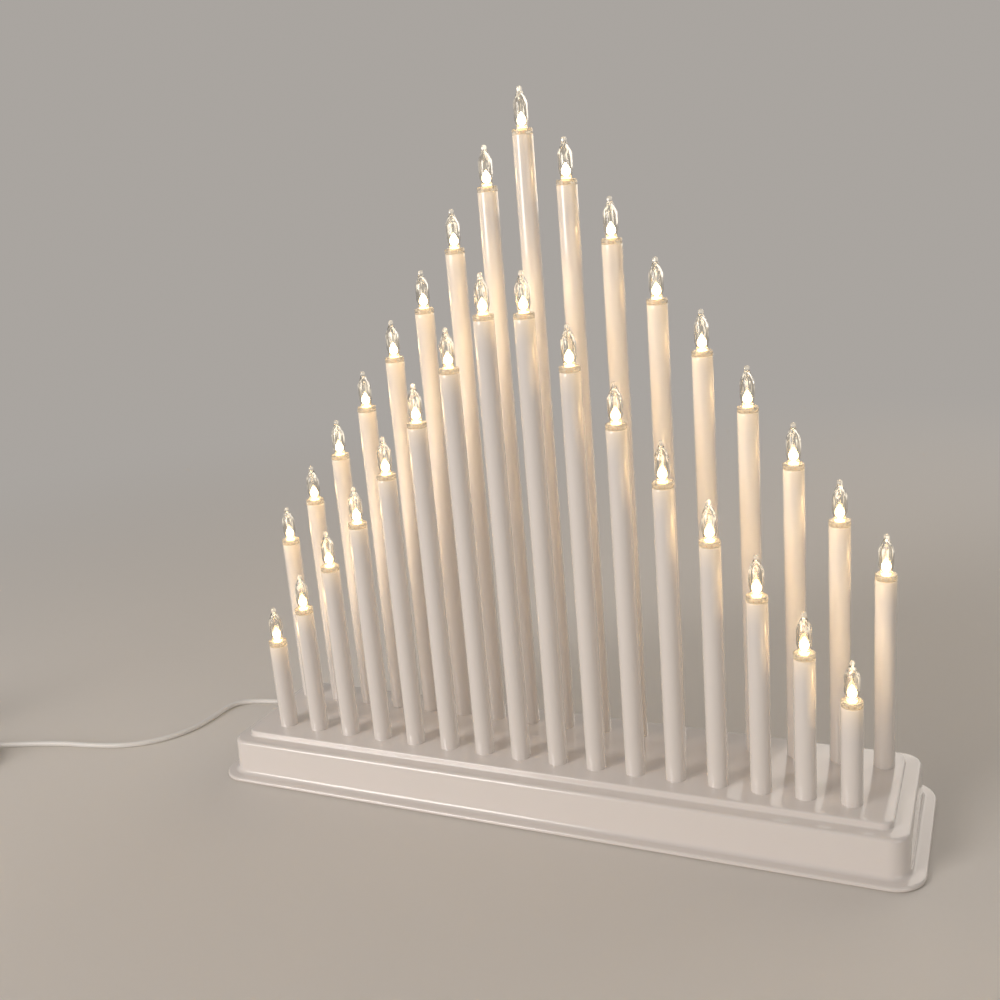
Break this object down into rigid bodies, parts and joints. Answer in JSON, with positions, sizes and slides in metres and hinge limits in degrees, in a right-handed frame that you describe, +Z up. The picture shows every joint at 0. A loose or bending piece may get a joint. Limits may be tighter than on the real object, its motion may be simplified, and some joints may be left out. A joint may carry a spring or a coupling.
{
  "type": "candle arch",
  "caption": "Electric candle arch: two rows of upright tubes rising in steps to the middle on a long stepped base, each with a small flame-shaped lamp.",
  "frame": {"origin": "middle of the base at the height of the feet's undersides", "axes": "+X along the base, +Y towards the back where the lead comes out, +Z up"},
  "size_m": [0.662, 0.1846, 0.3538],
  "materials": {
    "cover": "glossy white",
    "plate": "matt",
    "foot": "matt",
    "screw": "zinc plated",
    "holder": "cream, lets light through",
    "lens": "clear",
    "wire": "insulated",
    "block": "matt",
    "lead": "soft white",
    "tie": "matt",
    "case": "satin white",
    "pin": "plated"
  },
  "bodies": {
    "arch": {"base_cover": "cover", "bottom_plate": "plate", "rubber_feet": "foot", "cover_screws": "screw", "lamp_holders": "holder", "wiring": "wire", "joining_block": "block", "strain_relief": "lead", "lead": "lead", "lead_coil": "lead", "coil_tie": "tie", "adaptor_sleeve": "lead", "adaptor_case": "case", "adaptor_pins": "pin", "candle_tubes_01": "cover", "candle_tubes_02": "cover", "candle_tubes_03": "cover", "candle_tubes_04": "cover", "candle_tubes_05": "cover", "candle_tubes_06": "cover", "candle_tubes_07": "cover", "candle_tubes_08": "cover", "candle_tubes_09": "cover", "candle_tubes_10": "cover", "candle_tubes_11": "cover"},
    "lamp_f01": {"lamp_f01": "lens"},
    "lamp_f02": {"lamp_f02": "lens"},
    "lamp_f03": {"lamp_f03": "lens"},
    "lamp_f04": {"lamp_f04": "lens"},
    "lamp_f05": {"lamp_f05": "lens"},
    "lamp_f06": {"lamp_f06": "lens"},
    "lamp_f07": {"lamp_f07": "lens"},
    "lamp_f08": {"lamp_f08": "lens"},
    "lamp_f09": {"lamp_f09": "lens"},
    "lamp_f10": {"lamp_f10": "lens"},
    "lamp_f11": {"lamp_f11": "lens"},
    "lamp_f12": {"lamp_f12": "lens"},
    "lamp_f13": {"lamp_f13": "lens"},
    "lamp_f14": {"lamp_f14": "lens"},
    "lamp_f15": {"lamp_f15": "lens"},
    "lamp_f16": {"lamp_f16": "lens"},
    "lamp_b01": {"lamp_b01": "lens"},
    "lamp_b02": {"lamp_b02": "lens"},
    "lamp_b03": {"lamp_b03": "lens"},
    "lamp_b04": {"lamp_b04": "lens"},
    "lamp_b05": {"lamp_b05": "lens"},
    "lamp_b06": {"lamp_b06": "lens"},
    "lamp_b07": {"lamp_b07": "lens"},
    "lamp_b08": {"lamp_b08": "lens"},
    "lamp_b09": {"lamp_b09": "lens"},
    "lamp_b10": {"lamp_b10": "lens"},
    "lamp_b11": {"lamp_b11": "lens"},
    "lamp_b12": {"lamp_b12": "lens"},
    "lamp_b13": {"lamp_b13": "lens"},
    "lamp_b14": {"lamp_b14": "lens"},
    "lamp_b15": {"lamp_b15": "lens"},
    "lamp_b16": {"lamp_b16": "lens"},
    "lamp_b17": {"lamp_b17": "lens"}
  },
  "joints": [
    {"name": "lamp_f01_pull", "type": "slide", "parent": "arch", "child": "lamp_f01", "axis": [0, 0, 1], "range_m": [0, 0.02]},
    {"name": "lamp_f02_pull", "type": "slide", "parent": "arch", "child": "lamp_f02", "axis": [0, 0, 1], "range_m": [0, 0.02]},
    {"name": "lamp_f03_pull", "type": "slide", "parent": "arch", "child": "lamp_f03", "axis": [0, 0, 1], "range_m": [0, 0.02]},
    {"name": "lamp_f04_pull", "type": "slide", "parent": "arch", "child": "lamp_f04", "axis": [0, 0, 1], "range_m": [0, 0.02]},
    {"name": "lamp_f05_pull", "type": "slide", "parent": "arch", "child": "lamp_f05", "axis": [0, 0, 1], "range_m": [0, 0.02]},
    {"name": "lamp_f06_pull", "type": "slide", "parent": "arch", "child": "lamp_f06", "axis": [0, 0, 1], "range_m": [0, 0.02]},
    {"name": "lamp_f07_pull", "type": "slide", "parent": "arch", "child": "lamp_f07", "axis": [0, 0, 1], "range_m": [0, 0.02]},
    {"name": "lamp_f08_pull", "type": "slide", "parent": "arch", "child": "lamp_f08", "axis": [0, 0, 1], "range_m": [0, 0.02]},
    {"name": "lamp_f09_pull", "type": "slide", "parent": "arch", "child": "lamp_f09", "axis": [0, 0, 1], "range_m": [0, 0.02]},
    {"name": "lamp_f10_pull", "type": "slide", "parent": "arch", "child": "lamp_f10", "axis": [0, 0, 1], "range_m": [0, 0.02]},
    {"name": "lamp_f11_pull", "type": "slide", "parent": "arch", "child": "lamp_f11", "axis": [0, 0, 1], "range_m": [0, 0.02]},
    {"name": "lamp_f12_pull", "type": "slide", "parent": "arch", "child": "lamp_f12", "axis": [0, 0, 1], "range_m": [0, 0.02]},
    {"name": "lamp_f13_pull", "type": "slide", "parent": "arch", "child": "lamp_f13", "axis": [0, 0, 1], "range_m": [0, 0.02]},
    {"name": "lamp_f14_pull", "type": "slide", "parent": "arch", "child": "lamp_f14", "axis": [0, 0, 1], "range_m": [0, 0.02]},
    {"name": "lamp_f15_pull", "type": "slide", "parent": "arch", "child": "lamp_f15", "axis": [0, 0, 1], "range_m": [0, 0.02]},
    {"name": "lamp_f16_pull", "type": "slide", "parent": "arch", "child": "lamp_f16", "axis": [0, 0, 1], "range_m": [0, 0.02]},
    {"name": "lamp_b01_pull", "type": "slide", "parent": "arch", "child": "lamp_b01", "axis": [0, 0, 1], "range_m": [0, 0.02]},
    {"name": "lamp_b02_pull", "type": "slide", "parent": "arch", "child": "lamp_b02", "axis": [0, 0, 1], "range_m": [0, 0.02]},
    {"name": "lamp_b03_pull", "type": "slide", "parent": "arch", "child": "lamp_b03", "axis": [0, 0, 1], "range_m": [0, 0.02]},
    {"name": "lamp_b04_pull", "type": "slide", "parent": "arch", "child": "lamp_b04", "axis": [0, 0, 1], "range_m": [0, 0.02]},
    {"name": "lamp_b05_pull", "type": "slide", "parent": "arch", "child": "lamp_b05", "axis": [0, 0, 1], "range_m": [0, 0.02]},
    {"name": "lamp_b06_pull", "type": "slide", "parent": "arch", "child": "lamp_b06", "axis": [0, 0, 1], "range_m": [0, 0.02]},
    {"name": "lamp_b07_pull", "type": "slide", "parent": "arch", "child": "lamp_b07", "axis": [0, 0, 1], "range_m": [0, 0.02]},
    {"name": "lamp_b08_pull", "type": "slide", "parent": "arch", "child": "lamp_b08", "axis": [0, 0, 1], "range_m": [0, 0.02]},
    {"name": "lamp_b09_pull", "type": "slide", "parent": "arch", "child": "lamp_b09", "axis": [0, 0, 1], "range_m": [0, 0.02]},
    {"name": "lamp_b10_pull", "type": "slide", "parent": "arch", "child": "lamp_b10", "axis": [0, 0, 1], "range_m": [0, 0.02]},
    {"name": "lamp_b11_pull", "type": "slide", "parent": "arch", "child": "lamp_b11", "axis": [0, 0, 1], "range_m": [0, 0.02]},
    {"name": "lamp_b12_pull", "type": "slide", "parent": "arch", "child": "lamp_b12", "axis": [0, 0, 1], "range_m": [0, 0.02]},
    {"name": "lamp_b13_pull", "type": "slide", "parent": "arch", "child": "lamp_b13", "axis": [0, 0, 1], "range_m": [0, 0.02]},
    {"name": "lamp_b14_pull", "type": "slide", "parent": "arch", "child": "lamp_b14", "axis": [0, 0, 1], "range_m": [0, 0.02]},
    {"name": "lamp_b15_pull", "type": "slide", "parent": "arch", "child": "lamp_b15", "axis": [0, 0, 1], "range_m": [0, 0.02]},
    {"name": "lamp_b16_pull", "type": "slide", "parent": "arch", "child": "lamp_b16", "axis": [0, 0, 1], "range_m": [0, 0.02]},
    {"name": "lamp_b17_pull", "type": "slide", "parent": "arch", "child": "lamp_b17", "axis": [0, 0, 1], "range_m": [0, 0.02]}
  ]
}
